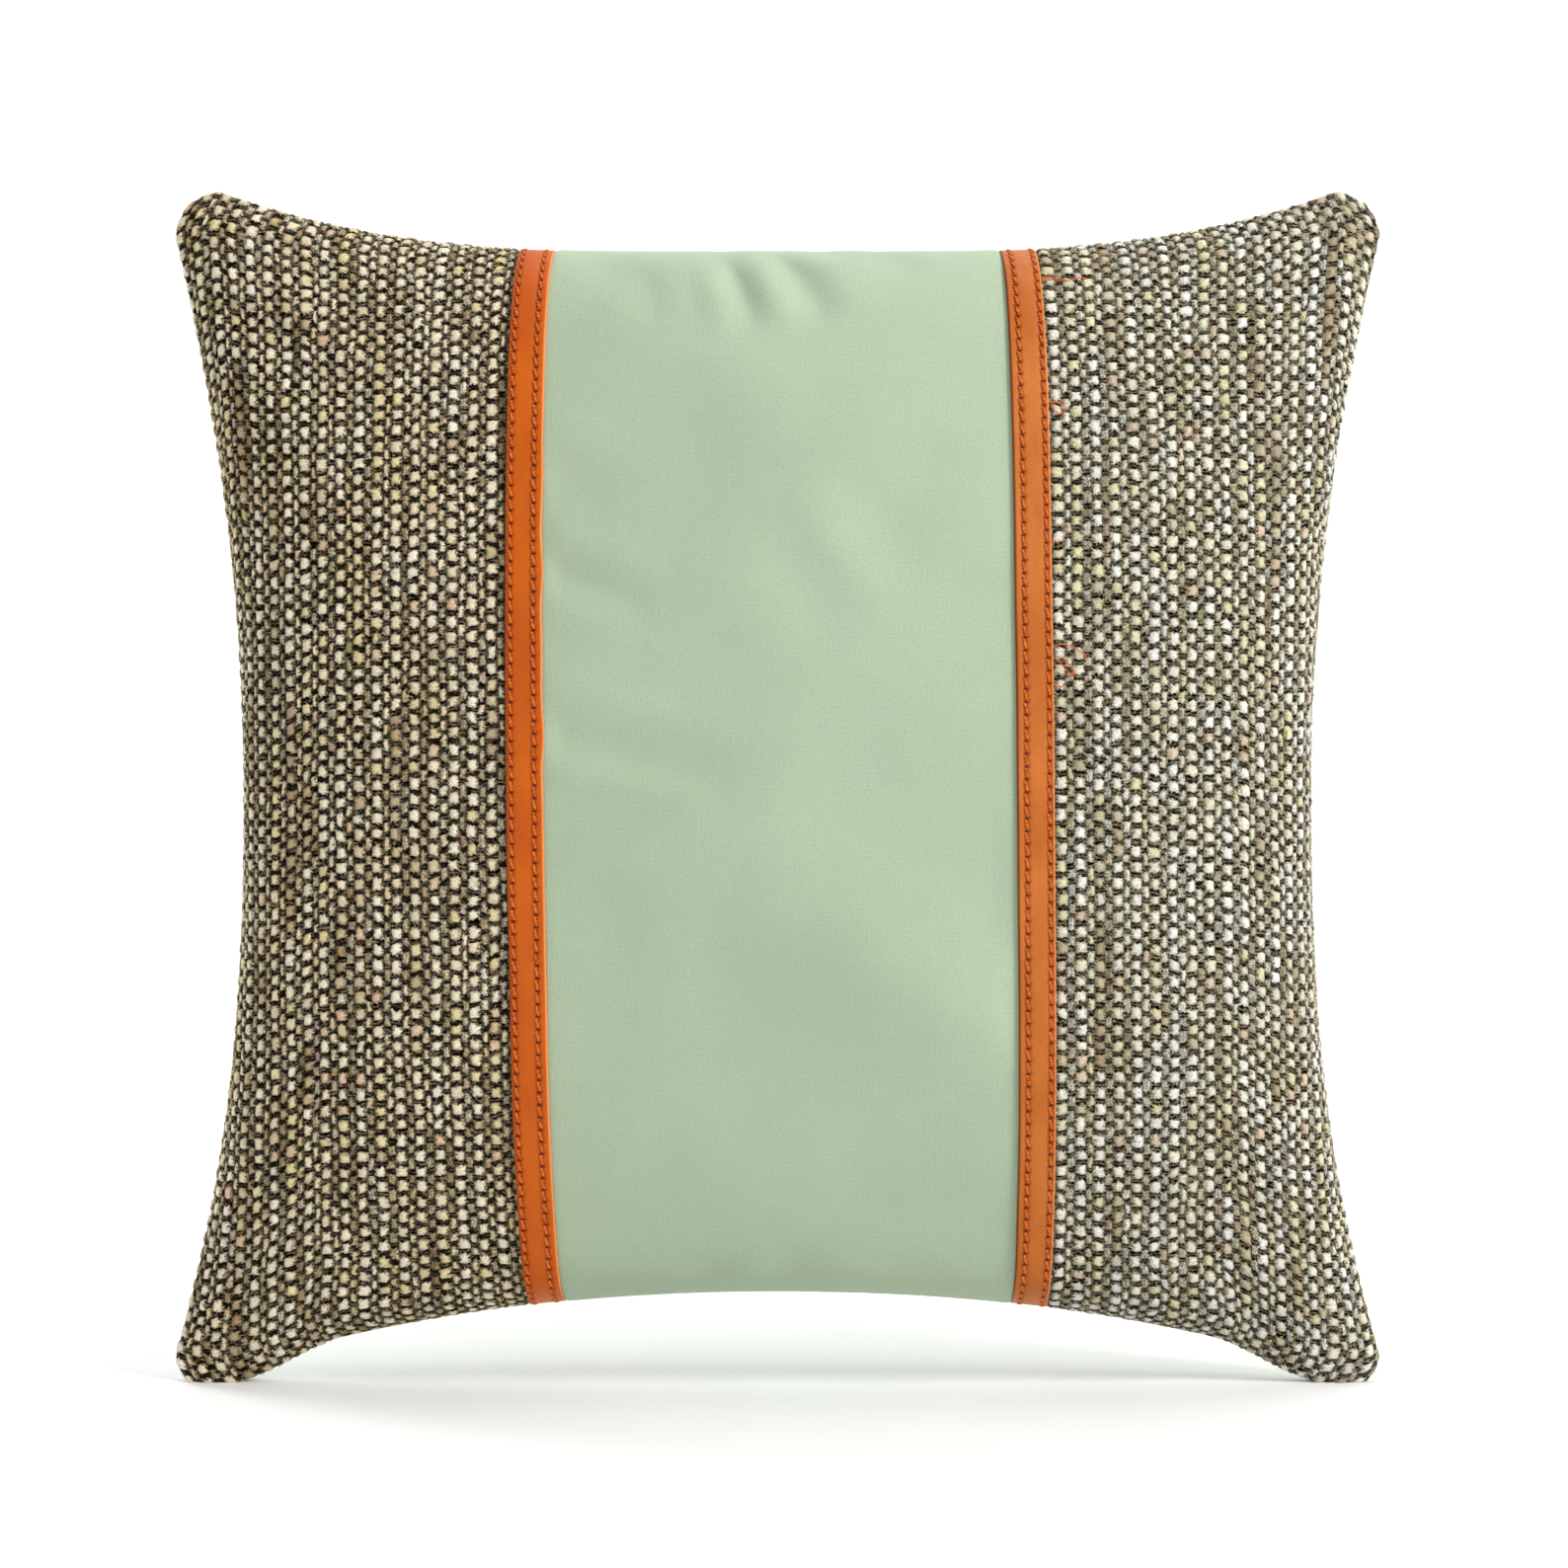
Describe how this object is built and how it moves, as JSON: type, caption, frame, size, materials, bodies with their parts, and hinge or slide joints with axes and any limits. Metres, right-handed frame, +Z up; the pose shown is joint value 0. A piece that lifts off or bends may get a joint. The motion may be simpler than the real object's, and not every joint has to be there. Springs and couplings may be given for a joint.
{
  "type": "throw pillow",
  "caption": "Square filled throw pillow with a three-panel front, leather strips over its joints, and a concealed zipper in the bottom seam.",
  "frame": {"origin": "on the floor under the middle of the pillow's bounding box", "axes": "+Z up, -Y towards the viewer of the front, +X to that viewer's right; +Y is the thickness direction"},
  "size_m": [0.4464, 0.124, 0.4404],
  "materials": {
    "tweed": "coarse plain weave of slub and fine yarns",
    "sage_cloth": "smooth fine cloth with a low sheen",
    "tan_leather": "orange tan leather with lighter pressed edges",
    "topstitch_thread": "two-ply orange thread",
    "seam_thread": "plain sewing thread",
    "zipper_tape": "herringbone tape",
    "zipper_coil": "nylon monofilament",
    "zipper_metal": "antiqued zinc",
    "ticking": "plain cotton",
    "fibre": "loose polyester fibre"
  },
  "bodies": {
    "pillow": {"front_left_panel": "tweed", "front_centre_panel": "sage_cloth", "front_right_panel": "tweed", "back_panel": "sage_cloth", "leather_strip_left": "tan_leather", "leather_strip_right": "tan_leather", "left_strip_outer_topstitch": "topstitch_thread", "left_strip_inner_topstitch": "topstitch_thread", "right_strip_inner_topstitch": "topstitch_thread", "right_strip_outer_topstitch": "topstitch_thread", "top_seam_thread": "seam_thread", "left_seam_thread": "seam_thread", "right_seam_thread": "seam_thread", "bottom_left_seam_thread": "seam_thread", "bottom_right_seam_thread": "seam_thread", "zipper_tape_front": "zipper_tape", "zipper_tape_back": "zipper_tape", "zipper_coil_front": "zipper_coil", "zipper_coil_back": "zipper_coil", "zipper_stop_closed_end": "zipper_metal", "zipper_stop_open_end": "zipper_metal", "insert_front_ticking": "ticking", "insert_back_ticking": "ticking", "fibre_filling": "fibre"},
    "slider": {"zip_slider": "zipper_metal"},
    "tab": {"pull_tab": "zipper_metal"}
  },
  "joints": [
    {"name": "zipper_travel", "type": "hinge", "parent": "pillow", "child": "slider", "pos_m": [0, 0, -0.6848], "axis": [0, -1, 0], "range_deg": [0, 21]},
    {"name": "pull_tab_swing", "type": "hinge", "parent": "slider", "child": "tab", "pos_m": [0.13235, 0, 0.02486], "axis": [0, -1, 0], "range_deg": [0, 150]}
  ]
}
